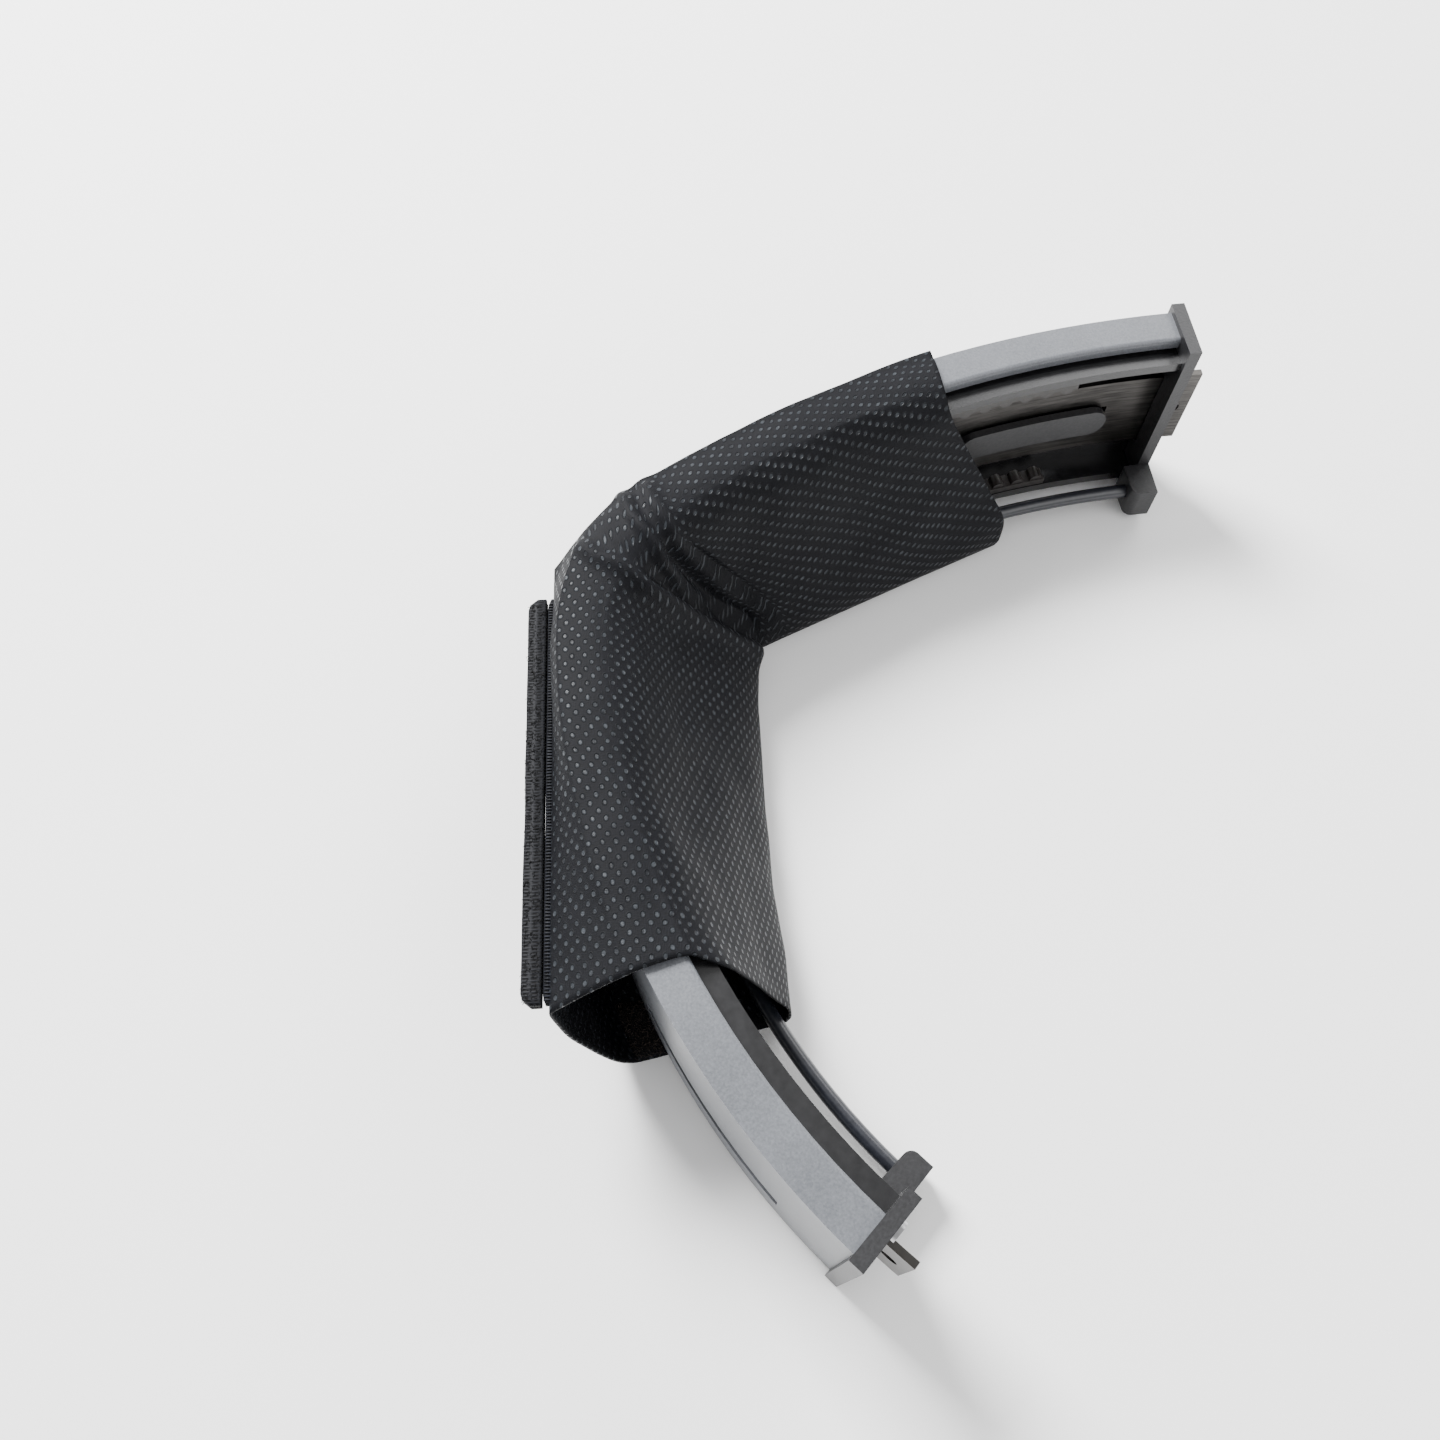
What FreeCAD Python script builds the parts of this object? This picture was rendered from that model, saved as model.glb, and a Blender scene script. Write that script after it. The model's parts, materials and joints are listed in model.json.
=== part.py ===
"""Headset headband lying on its side inside a wrap-around non-woven cover.

Millimetres and degrees. The band is a channel bent along three tangent arcs: a tight crown and two
arms. It lies on its side, so its width runs along +Z. The crown points to -X and the arms open to +X.
An arc position is a distance along the band's outer face, measured from the middle of the crown.
An inset is a distance from that outer face towards the head space.
"""
import FreeCAD
import Part
import Sketcher
import math
import os
import re
from FreeCAD import Placement, Rotation, Vector

doc = FreeCAD.newDocument("headband_cover")

# ---------------------------------------------------------------- driving dimensions
DIMENSIONS = {
    # band
    "band_width": 32.0, "crown_radius": 27.0, "bend_angle": 27.0,
    "upper_arm_radius": 162.0, "lower_arm_radius": 111.0, "half_length": 100.0, "overcut": 1.0,
    "shell_web": 1.6, "shell_wall": 1.6, "shell_depth": 5.5, "lip_round": 0.7,
    "leaf_gap": 0.1, "leaf_thickness": 0.8, "leaf_width": 12.0, "leaf_margin": 5.0,
    "liner_floor": 1.2, "liner_wall": 1.5, "liner_depth": 8.2, "liner_gap": 0.6,
    "window_start": 60.0, "window_end": 90.0, "window_height": 3.4, "window_edge": 0.6,
    # racks and sliders
    "rack_start": 40.0, "rack_pitch": 3.5, "rack_count": 13, "rack_base": 1.2, "rack_depth": 2.4,
    "rack_lead": 1.6, "tooth_radius": 1.0, "tooth_setback": 0.15, "rack_inset_gap": 0.2,
    "strip_gap": 0.4, "strip_thickness": 1.0, "strip_width": 15.0, "strip_tail": 39.0,
    "strip_proud": 4.6, "slot_width": 4.0, "slot_start": 43.75, "end_hole_radius": 1.25,
    "end_hole_edge": 2.7, "block_length": 26.0, "block_end_gap": 8.0, "block_fit": 0.2,
    "block_cap_width": 5.4, "block_cap_gap": 0.3, "block_cap_thickness": 1.2, "edge_flat": 0.1,
    "detent_start": 40.25, "detent_end": 43.25, "detent_thickness": 1.0, "detent_clearance": 0.3,
    "rivet_radius": 0.7, "rivet_head_radius": 1.1, "rivet_head": 0.5, "rivet_spacing": 11.0,
    # ends and cable
    "cap_thickness": 2.0, "cap_slot_gap": 0.3, "screw_radius": 0.6, "screw_head_radius": 1.3,
    "screw_head": 0.6, "screw_length": 6.0, "cable_radius": 1.1, "cable_height": 4.5,
    "cable_crown_radius": 16.2, "cable_upper_inset": 12.0, "cable_lower_inset": 14.6,
    "clip_length": 4.5, "clip_margin": 1.9, "clip_fit": 0.05, "clip_nose": 1.4,
    # cover
    "cover_thickness": 0.6, "cover_clearance": 0.3, "lower_mouth": 61.5, "upper_mouth": 62.0,
    "fold_middle": 3.0, "fold_height": 8.0, "fold_rake": 0.6, "cover_steps": 12, "fold_crowding": 1.25,
    "seam_miter": 2.2, "seam_drop": 1.4, "hem_miter": 1.3,
    # corners of the cover: inner edge on the resting surface (fold, hem), heel of the back layer
    # on it, and the outer seam, which stands above it
    "hem_fold_arc": 22.36, "hem_fold_inset": 16.61,
    "hem_lower_arc": -70.21, "hem_lower_inset": 17.37, "hem_upper_arc": 72.72, "hem_upper_inset": 15.84,
    "heel_fold_inset": -3.0, "heel_lower_inset": -7.5, "heel_upper_inset": -4.0,
    "seam_fold_arc": -2.2, "seam_fold_inset": -4.3, "seam_fold_height": 28.0,
    "seam_bend_arc": 12.0, "seam_bend_inset": -3.6, "seam_bend_height": 21.0, "seam_bend_share": 0.1,
    "seam_lower_arc": -60.4, "seam_lower_inset": -11.9, "seam_lower_height": 29.5,
    "seam_upper_arc": 62.0, "seam_upper_inset": -5.6, "seam_upper_height": 9.0,
    "tape_width": 3.4, "tape_thickness": 0.8, "loop_gap": 0.35, "hook_gap": 0.9,
    "tape_mouth_end": 1.0, "tape_fold_end": 5.0, "grip_length": 11.0, "grip_width": 8.0,
    "grip_heel_gap": 2.0, "grip_mouth_gap": 2.0,
}

sheet = doc.addObject("Spreadsheet::Sheet", "dims")
for row, (alias, value) in enumerate(DIMENSIONS.items(), start=1):
    sheet.set(f"A{row}", alias)
    sheet.set(f"B{row}", str(value))
    sheet.setAlias(f"B{row}", alias)
doc.recompute()


def dim(alias):
    """Value of one driving dimension, read back from the sheet."""
    return float(getattr(sheet, alias))


def cells(text):
    """Expression text with every dimension's name turned into its sheet cell."""
    return re.sub(r"[a-z_]+", lambda word: "dims." * (word[0] in DIMENSIONS) + word[0], text)


# ---------------------------------------------------------------- where things lie on the band
BAND_FLOOR = "cover_thickness + cover_clearance"
BAND_TOP = f"{BAND_FLOOR} + band_width"
MIDDLE = f"{BAND_FLOOR} + band_width / 2"
LEAF_INSET = "shell_web + leaf_gap"
LINER_INSET = f"{LEAF_INSET} + leaf_thickness + leaf_gap"
FLOOR_FACE = f"{LINER_INSET} + liner_floor"
STRIP_BACK = f"{FLOOR_FACE} + strip_gap"
STRIP_FACE = f"{STRIP_BACK} + strip_thickness"
BLOCK_CAP_BACK = f"{STRIP_FACE} + block_cap_gap"
BLOCK_CAP_FACE = f"{BLOCK_CAP_BACK} + block_cap_thickness"
DETENT_FACE = f"{STRIP_FACE} + detent_thickness"
LINER_SIDE = "shell_wall + liner_gap"
RACK_SIDE = f"{LINER_SIDE} + liner_wall"
TOOTH_LINE = f"{RACK_SIDE} + rack_base"
NOSE_SIDE = f"{TOOTH_LINE} + tooth_radius + detent_clearance"
CAP_END = "half_length + cap_thickness"
STRIP_REACH = f"{CAP_END} + strip_proud"
BLOCK_END = "half_length - block_end_gap"
BLOCK_START = f"{BLOCK_END} - block_length"
CROWN_END = "crown_radius * bend_angle * pi / 180"

NEAR = 0.01  # two sizes this close are the same
ANY_TURN = 30.0  # a rotation that is not zero keeps its axis until its expression is read

ARMS = {
    "upper": {"side": 1, "radius": "upper_arm_radius"},
    "lower": {"side": -1, "radius": "lower_arm_radius"},
}


def centre_of(arm):
    """Expressions for the centre of an arm's arc, or of the crown's."""
    if arm == "crown":
        return "0", "0"
    offset = f"( {ARMS[arm]['radius']} - crown_radius )"
    sign = "-" if ARMS[arm]["side"] > 0 else ""
    return f"{offset} * cos( bend_angle )", f"{sign} {offset} * sin( bend_angle )"


def turn_at(arm, arc):
    """Expression for the turn, in degrees from the crown's middle, at an arc position on an arm."""
    return f"( bend_angle + ( {arc} - {CROWN_END} ) * 180 / pi / {ARMS[arm]['radius']} )"


def azimuth_at(arm, arc):
    """Expression for the azimuth, seen from the arm's centre, of an arc position on it."""
    sign = "-" if ARMS[arm]["side"] > 0 else "+"
    return f"180 {sign} {turn_at(arm, arc)}"


def radius_of(arm):
    return "crown_radius" if arm == "crown" else ARMS[arm]["radius"]


def span_of(arm, start, end):
    """Azimuth of the first end, turning anticlockwise, and the sweep between two arc positions."""
    if arm == "crown":
        return "180 - bend_angle", "2 * bend_angle"
    first = end if ARMS[arm]["side"] > 0 else start
    return azimuth_at(arm, first), f"{turn_at(arm, end)} - {turn_at(arm, start)}"


# ---------------------------------------------------------------- sketch and feature helpers
def new_body(label):
    body = doc.addObject("PartDesign::Body", label)
    body.Label = label
    body.AllowCompound = True
    return body


def origin_plane(body, role):
    return next(f for f in body.Origin.OriginFeatures if f.Role == role)


def upright_sketch(body, arm, azimuth, name):
    """Sketch in the upright plane through an arc's centre: X is the radius and Y is the height."""
    sketch = body.newObject("Sketcher::SketchObject", name)
    sketch.AttachmentSupport = [(origin_plane(body, "XZ_Plane"), "")]
    sketch.MapMode = "FlatFace"
    sketch.AttachmentOffset = Placement(Vector(0, 0, 0), Rotation(Vector(0, 1, 0), ANY_TURN))
    x, y = centre_of(arm)
    sketch.setExpression("AttachmentOffset.Base.x", cells(x))
    sketch.setExpression("AttachmentOffset.Base.z", cells(f"0 - ( {y} )"))
    sketch.setExpression("AttachmentOffset.Rotation.Angle", cells(azimuth))
    return sketch


def facing_sketch(body, arm, arc, inset, name):
    """Sketch in the plane that faces an arc's centre: X is along the band and Y is the height."""
    sketch = body.newObject("Sketcher::SketchObject", name)
    sketch.AttachmentSupport = [(origin_plane(body, "YZ_Plane"), "")]
    sketch.MapMode = "FlatFace"
    sketch.AttachmentOffset = Placement(Vector(0, 0, 0), Rotation(Vector(0, 1, 0), ANY_TURN))
    x, y = centre_of(arm)
    azimuth = azimuth_at(arm, arc)
    reach = f"( {radius_of(arm)} - ( {inset} ) )"
    sketch.setExpression("AttachmentOffset.Base.z", cells(f"{x} + {reach} * cos( {azimuth} )"))
    sketch.setExpression("AttachmentOffset.Base.x", cells(f"{y} + {reach} * sin( {azimuth} )"))
    sketch.setExpression("AttachmentOffset.Rotation.Angle", cells(azimuth))
    return sketch


def bind(sketch, index, text):
    sketch.setExpression(f"Constraints[{index}]", cells(text))


def add_rectangle(sketch, left, right, low, high, guess):
    """Rectangle whose four sides are bound to expressions.

    The guess, (left, right, low, high), only tells the solver which way round it lies."""
    x0, x1, y0, y1 = guess
    corners = [Vector(x0, y0, 0), Vector(x1, y0, 0), Vector(x1, y1, 0), Vector(x0, y1, 0)]
    first = sketch.GeometryCount
    for k in range(4):
        sketch.addGeometry(Part.LineSegment(corners[k], corners[(k + 1) % 4]))
    for k in range(4):
        sketch.addConstraint(Sketcher.Constraint("Coincident", first + k, 2, first + (k + 1) % 4, 1))
    for k, kind in enumerate(("Horizontal", "Vertical", "Horizontal", "Vertical")):
        sketch.addConstraint(Sketcher.Constraint(kind, first + k))
    for kind, vertex, text, value in (("DistanceX", 0, left, x0), ("DistanceX", 1, right, x1),
                                      ("DistanceY", 0, low, y0), ("DistanceY", 2, high, y1)):
        index = sketch.addConstraint(Sketcher.Constraint(kind, -1, 1, first + vertex, 1, value))
        bind(sketch, index, text)


def add_circle(sketch, x, y, radius, guess):
    gx, gy, gr = guess
    index = sketch.addGeometry(Part.Circle(Vector(gx, gy, 0), Vector(0, 0, 1), gr))
    for kind, text, value in (("DistanceX", x, gx), ("DistanceY", y, gy)):
        if text == "0":
            line = -2 if kind == "DistanceX" else -1
            sketch.addConstraint(Sketcher.Constraint("PointOnObject", index, 3, line))
            continue
        bind(sketch, sketch.addConstraint(Sketcher.Constraint(kind, -1, 1, index, 3, value)), text)
    bind(sketch, sketch.addConstraint(Sketcher.Constraint("Radius", index, gr)), radius)


def ring(body, arm, start, end, insets, heights, name, cut=False):
    """Add or cut a rectangular section swept along one arc between two arc positions."""
    azimuth, sweep = span_of(arm, start, end)
    sketch = upright_sketch(body, arm, azimuth, name + "_section")
    reach = dim(radius_of(arm))
    guess = (reach - 5, reach - 1, 5, 10)
    add_rectangle(sketch, f"{radius_of(arm)} - ( {insets[1]} )", f"{radius_of(arm)} - ( {insets[0]} )",
                  heights[0], heights[1], guess)
    kind = "PartDesign::Groove" if cut else "PartDesign::Revolution"
    feature = body.newObject(kind, name)
    feature.Profile = sketch
    feature.ReferenceAxis = (sketch, ["V_Axis"])
    feature.Midplane = False
    feature.Reversed = False
    feature.setExpression("Angle", cells(sweep))
    body.Tip = feature
    doc.recompute()
    return feature


def along_band(body, end, insets, heights, name, cut=False):
    """The same swept section along the crown and both arms, out to one arc position each side."""
    for arm in ("crown", "upper", "lower"):
        ring(body, arm, CROWN_END, end, insets, heights, f"{name}_{arm}", cut)


def pad(body, sketch, length, name, reverse=False, cut=False):
    feature = body.newObject("PartDesign::Pocket" if cut else "PartDesign::Pad", name)
    feature.Profile = sketch
    feature.Reversed = reverse
    feature.setExpression("Length", cells(length))
    body.Tip = feature
    doc.recompute()
    return feature


def arc_centre(arm):
    """Centre of an arm's arc, or of the crown's, in numbers."""
    if arm == "crown":
        return Vector(0, 0, 0)
    offset, bend = dim(ARMS[arm]["radius"]) - dim("crown_radius"), math.radians(dim("bend_angle"))
    return Vector(offset * math.cos(bend), -ARMS[arm]["side"] * offset * math.sin(bend), 0)


def points_at_centre(edge, centre):
    """Whether a straight edge points at an arc's centre."""
    if edge.Curve.TypeId != "Part::GeomLine":
        return False
    away = edge.CenterOfMass - centre
    away.z = 0.0
    return abs(edge.tangentAt(edge.FirstParameter).dot(away.normalize())) > 1 - NEAR


def round_edges(body, radius, name, wanted):
    """Fillet every edge of the body that the test picks."""
    base = body.Tip
    names = [f"Edge{i}" for i, edge in enumerate(base.Shape.Edges, start=1) if wanted(edge)]
    fillet = body.newObject("PartDesign::Fillet", name)
    fillet.Base = (base, names)
    fillet.setExpression("Radius", cells(radius))
    body.Tip = fillet
    doc.recompute()
    return fillet


# ---------------------------------------------------------------- band
def make_shell():
    """Grey outer channel: a web on the outside and two side walls with rounded lips."""
    body = new_body("arch_shell")
    along_band(body, "half_length", ("0", "shell_depth"), (BAND_FLOOR, BAND_TOP), "block")
    along_band(body, "half_length", ("shell_web", "shell_depth + overcut"),
               (f"{BAND_FLOOR} + shell_wall", f"{BAND_TOP} - shell_wall"), "channel", cut=True)
    for arm in ARMS:
        cut_window(body, arm)
    round_edges(body, "lip_round", "lips", on_lip)
    return body


def on_lip(edge):
    """Whether an edge runs along one of the channel's two free edges, on the outside."""
    if edge.Curve.TypeId != "Part::GeomCircle":
        return False
    floor = dim("cover_thickness") + dim("cover_clearance")
    height = edge.Curve.Center.z
    outside = min(abs(height - floor), abs(height - floor - dim("band_width"))) < NEAR
    reaches = [dim(radius_of(arm)) - dim("shell_depth") for arm in ("crown", "upper", "lower")]
    return outside and min(abs(edge.Curve.Radius - reach) for reach in reaches) < NEAR


def cut_window(body, arm):
    """Lightening slot right through the web, between the rack and the guide block."""
    low = f"{BAND_FLOOR} + {RACK_SIDE} + rack_base + tooth_radius + window_edge"
    ring(body, arm, "window_start", "window_end", ("0 - overcut", "liner_depth"),
         (low, f"{low} + window_height"), f"window_{arm}", cut=True)


def make_leaf():
    """Spring-steel leaf between the shell and its liner, which gives the band its grip."""
    body = new_body("spring_leaf")
    heights = (f"{MIDDLE} - leaf_width / 2", f"{MIDDLE} + leaf_width / 2")
    along_band(body, "half_length - leaf_margin", (LEAF_INSET, f"{LEAF_INSET} + leaf_thickness"),
               heights, "leaf")
    return body


def make_liner():
    """Black channel inside the shell that carries the racks and the guide blocks."""
    body = new_body("channel_liner")
    along_band(body, "half_length", (LINER_INSET, "liner_depth"),
               (f"{BAND_FLOOR} + {LINER_SIDE}", f"{BAND_TOP} - ( {LINER_SIDE} )"), "block")
    along_band(body, "half_length", (FLOOR_FACE, "liner_depth + overcut"),
               (f"{BAND_FLOOR} + {RACK_SIDE}", f"{BAND_TOP} - ( {RACK_SIDE} )"), "channel", cut=True)
    for arm in ARMS:
        cut_window(body, arm)
    return body


def make_rack(arm, edge):
    """Row of round teeth along one side of the channel: the slider clicks from gap to gap."""
    body = new_body(f"{arm}_rack_{edge}")
    insets = ("liner_depth - rack_inset_gap - rack_depth", "liner_depth - rack_inset_gap")
    if edge == "bottom":
        wall, teeth = f"{BAND_FLOOR} + {RACK_SIDE}", f"{BAND_FLOOR} + {TOOTH_LINE}"
        heights = (wall, teeth)
    else:
        wall, teeth = f"{BAND_TOP} - ( {RACK_SIDE} )", f"{BAND_TOP} - ( {TOOTH_LINE} )"
        heights = (teeth, wall)
    end = "rack_start + rack_pitch * ( rack_count - 1 ) + rack_lead"
    base = ring(body, arm, "rack_start - rack_lead", end, insets, heights, "base")
    first = "rack_start" if ARMS[arm]["side"] < 0 else "rack_start + rack_pitch * ( rack_count - 1 )"
    sketch = facing_sketch(body, arm, first, f"{insets[1]} - tooth_setback", "tooth_outline")
    add_circle(sketch, "0", teeth, "tooth_radius", (0, 10, 1))
    tooth = pad(body, sketch, "rack_depth - 2 * tooth_setback", "tooth")
    pattern = body.newObject("PartDesign::PolarPattern", "teeth")
    pattern.Originals = [tooth]
    pattern.Axis = (base.Profile[0], ["V_Axis"])
    pattern.setExpression("Angle", cells(f"rack_pitch * ( rack_count - 1 ) * 180 / pi / {radius_of(arm)}"))
    pattern.setExpression("Occurrences", cells("rack_count"))
    body.Tip = pattern
    doc.recompute()
    return body


def make_block(arm):
    """Pill-ended block fixed to the liner: its neck runs in the slider's slot and its cap holds it."""
    body = new_body(f"{arm}_guide_block")
    neck = "( slot_width / 2 - block_fit )"
    ring(body, arm, BLOCK_START, BLOCK_END, (FLOOR_FACE, BLOCK_CAP_BACK),
         (f"{MIDDLE} - {neck}", f"{MIDDLE} + {neck}"), "neck")
    ring(body, arm, BLOCK_START, BLOCK_END, (BLOCK_CAP_BACK, BLOCK_CAP_FACE),
         (f"{MIDDLE} - block_cap_width / 2", f"{MIDDLE} + block_cap_width / 2"), "cap")
    widest, centre = dim("slot_width") / 2, arc_centre(arm)
    middle = dim("cover_thickness") + dim("cover_clearance") + dim("band_width") / 2
    round_edges(body, "block_cap_width / 2 - edge_flat", "pill_ends",
                lambda edge: points_at_centre(edge, centre) and abs(edge.CenterOfMass.z - middle) > widest)
    return body


# ---------------------------------------------------------------- sliders
def make_strip(arm):
    """Slotted steel strip that carries an ear cup and slides along the arm."""
    body = new_body(f"{arm}_slider_strip")
    heights = (f"{MIDDLE} - strip_width / 2", f"{MIDDLE} + strip_width / 2")
    ring(body, arm, "strip_tail", STRIP_REACH, (STRIP_BACK, STRIP_FACE), heights, "strip")
    ring(body, arm, "slot_start", f"{BLOCK_END} + block_fit",
         (f"{STRIP_BACK} - overcut", f"{STRIP_FACE} + overcut"),
         (f"{MIDDLE} - slot_width / 2", f"{MIDDLE} + slot_width / 2"), "slot", cut=True)
    sketch = facing_sketch(body, arm, f"{STRIP_REACH} - end_hole_edge", f"{STRIP_FACE} + overcut",
                           "hole_outline")
    add_circle(sketch, "0", MIDDLE, "end_hole_radius", (0, 16, 1))
    pad(body, sketch, "strip_thickness + 2 * overcut", "end_hole", reverse=True, cut=True)
    return body


def make_detent(arm):
    """Cross leaf on the strip's tail whose two round noses ride on the racks."""
    body = new_body(f"{arm}_detent_spring")
    heights = (f"{BAND_FLOOR} + {NOSE_SIDE}", f"{BAND_TOP} - ( {NOSE_SIDE} )")
    ring(body, arm, "detent_start", "detent_end", (STRIP_FACE, DETENT_FACE), heights, "leaf")
    centre = arc_centre(arm)
    round_edges(body, "( detent_end - detent_start ) / 2 - edge_flat", "noses",
                lambda edge: points_at_centre(edge, centre))
    return body


def make_rivets(arm):
    """Two rivets that fix the detent spring to the strip."""
    body = new_body(f"{arm}_detent_rivets")
    middle = "( detent_start + detent_end ) / 2"
    for part, inset, radius, length in (
            ("head", f"{DETENT_FACE} + rivet_head", "rivet_head_radius", "rivet_head"),
            ("shank", DETENT_FACE, "rivet_radius", "detent_thickness + strip_thickness")):
        sketch = facing_sketch(body, arm, middle, inset, part + "_outline")
        for height, guess in ((f"{MIDDLE} - rivet_spacing / 2", 11), (f"{MIDDLE} + rivet_spacing / 2", 22)):
            add_circle(sketch, "0", height, radius, (0, guess, 0.5))
        pad(body, sketch, length, part)
    return body


# ---------------------------------------------------------------- end caps, screws, cable
def make_cap(arm):
    """Black cap on the end of the channel. It stands proud, so the band rests on it."""
    body = new_body(f"{arm}_end_cap")
    ring(body, arm, "half_length", CAP_END, (f"0 - ( {BAND_FLOOR} )", f"liner_depth + {BAND_FLOOR}"),
         ("0", f"{BAND_TOP} + {BAND_FLOOR}"), "plate")
    ring(body, arm, "half_length - overcut", f"{CAP_END} + overcut",
         (f"{STRIP_BACK} - cap_slot_gap", f"{STRIP_FACE} + cap_slot_gap"),
         (f"{MIDDLE} - strip_width / 2 - cap_slot_gap", f"{MIDDLE} + strip_width / 2 + cap_slot_gap"),
         "slot", cut=True)
    return body


def make_cap_screws(arm):
    """Two screws that fix a cap to the walls of the liner."""
    body = new_body(f"{arm}_cap_screws")
    inward = ARMS[arm]["side"] > 0
    across = f"{radius_of(arm)} - ( {LINER_INSET} + liner_depth ) / 2"
    side = f"{LINER_SIDE} + liner_wall / 2"
    for part, radius, length, flip in (("shank", "screw_radius", "screw_length", inward),
                                       ("head", "screw_head_radius", "screw_head", not inward)):
        sketch = upright_sketch(body, arm, azimuth_at(arm, CAP_END), part + "_outline")
        for height, guess in ((f"{BAND_FLOOR} + {side}", 4), (f"{BAND_TOP} - ( {side} )", 30)):
            add_circle(sketch, across, height, radius, (dim(radius_of(arm)) - 5, guess, 0.5))
        pad(body, sketch, length, part, reverse=flip)
    return body


def cable_inset(arm):
    return f"cable_{arm}_inset"


def middle_arc():
    """Centre of the cable's crown arc, which touches the arcs that follow the two arms."""
    centres = {arm: arc_centre(arm) for arm in ARMS}
    reaches = {arm: dim(radius_of(arm)) - dim(cable_inset(arm)) for arm in ARMS}
    crown = dim("cable_crown_radius")
    first, second = reaches["upper"] - crown, reaches["lower"] - crown
    apart = centres["lower"] - centres["upper"]
    along = (first ** 2 - second ** 2 + apart.Length ** 2) / (2 * apart.Length)
    aside = math.sqrt(first ** 2 - along ** 2)
    unit = Vector(apart).normalize()
    return centres, reaches, centres["upper"] + unit * along + Vector(-unit.y, unit.x, 0) * aside


def make_cable():
    """Signal cable from one ear cup to the other: three tangent arcs inside the band."""
    body = new_body("signal_cable")
    centres, reaches, crown_centre = middle_arc()
    path = body.newObject("Sketcher::SketchObject", "cable_path")
    path.AttachmentSupport = [(origin_plane(body, "XY_Plane"), "")]
    path.MapMode = "FlatFace"
    path.setExpression("AttachmentOffset.Base.z", cells("cable_height"))
    bend, crown = math.radians(dim("bend_angle")), dim("cable_crown_radius")
    past_crown = dim("half_length") + dim("cap_thickness") - dim("crown_radius") * bend
    ends = {arm: math.pi - data["side"] * (bend + past_crown / dim(data["radius"]))
            for arm, data in ARMS.items()}
    joins = {arm: crown_centre - centres[arm] for arm in ARMS}
    angle = {arm: math.atan2(joins[arm].y, joins[arm].x) % (2 * math.pi) for arm in ARMS}
    for centre, radius, start, end in (
            (centres["upper"], reaches["upper"], ends["upper"], angle["upper"]),
            (crown_centre, crown, angle["upper"], angle["lower"]),
            (centres["lower"], reaches["lower"], angle["lower"], ends["lower"])):
        path.addGeometry(Part.ArcOfCircle(Part.Circle(centre, Vector(0, 0, 1), radius), start, end))
    path.addConstraint(Sketcher.Constraint("Tangent", 0, 2, 1, 1))
    path.addConstraint(Sketcher.Constraint("Tangent", 1, 2, 2, 1))
    bind(path, path.addConstraint(Sketcher.Constraint("Radius", 1, crown)), "cable_crown_radius")
    for index, arm in ((0, "upper"), (2, "lower")):
        x, y = centre_of(arm)
        radius = path.addConstraint(Sketcher.Constraint("Radius", index, reaches[arm]))
        bind(path, radius, f"{radius_of(arm)} - {cable_inset(arm)}")
        for kind, text, value in (("DistanceX", x, centres[arm].x), ("DistanceY", y, centres[arm].y)):
            bind(path, path.addConstraint(Sketcher.Constraint(kind, -1, 1, index, 3, value)), text)
    profile = upright_sketch(body, "upper", azimuth_at("upper", CAP_END), "cable_section")
    add_circle(profile, f"{radius_of('upper')} - cable_upper_inset", "cable_height", "cable_radius",
               (reaches["upper"], 4, 1))
    pipe = body.newObject("PartDesign::AdditivePipe", "cable")
    pipe.Profile = profile
    pipe.Spine = path
    body.Tip = pipe
    doc.recompute()
    length = sum(edge.Length for edge in path.Shape.Edges)
    section = math.pi * dim("cable_radius") ** 2
    print(f"cable: bends {[round(r, 1) for r in (reaches['upper'], crown, reaches['lower'])]},",
          f"length {length:.1f}, volume {pipe.Shape.Volume:.0f} for {section * length:.0f}")
    return body


def make_clip(arm):
    """Strain relief on an end cap: a block with a rounded nose that holds the cable."""
    body = new_body(f"{arm}_cable_clip")
    start = f"{CAP_END} - clip_length"
    back = f"liner_depth + {BAND_FLOOR}"
    ring(body, arm, start, CAP_END, (back, f"{cable_inset(arm)} + cable_radius + clip_margin"),
         ("cable_height - cable_radius - clip_margin", "cable_height + cable_radius + clip_margin"), "block")
    azimuth, sweep = span_of(arm, f"{start} - overcut", f"{CAP_END} + overcut")
    sketch = upright_sketch(body, arm, azimuth, "cable_way_section")
    add_circle(sketch, f"{radius_of(arm)} - {cable_inset(arm)}", "cable_height", "cable_radius + clip_fit",
               (dim(radius_of(arm)) - 13, 4, 1))
    way = body.newObject("PartDesign::Groove", "cable_way")
    way.Profile = sketch
    way.ReferenceAxis = (sketch, ["V_Axis"])
    way.setExpression("Angle", cells(sweep))
    body.Tip = way
    doc.recompute()
    nose_arc = dim("half_length") + dim("cap_thickness") - dim("clip_length")
    nose_inset = dim(cable_inset(arm)) + dim("cable_radius") + dim("clip_margin")
    nose = band_point(ARMS[arm]["side"] * nose_arc, nose_inset)
    round_edges(body, "clip_nose", "nose",
                lambda edge: math.hypot(edge.CenterOfMass.x - nose.x, edge.CenterOfMass.y - nose.y) < NEAR)
    return body


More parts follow.
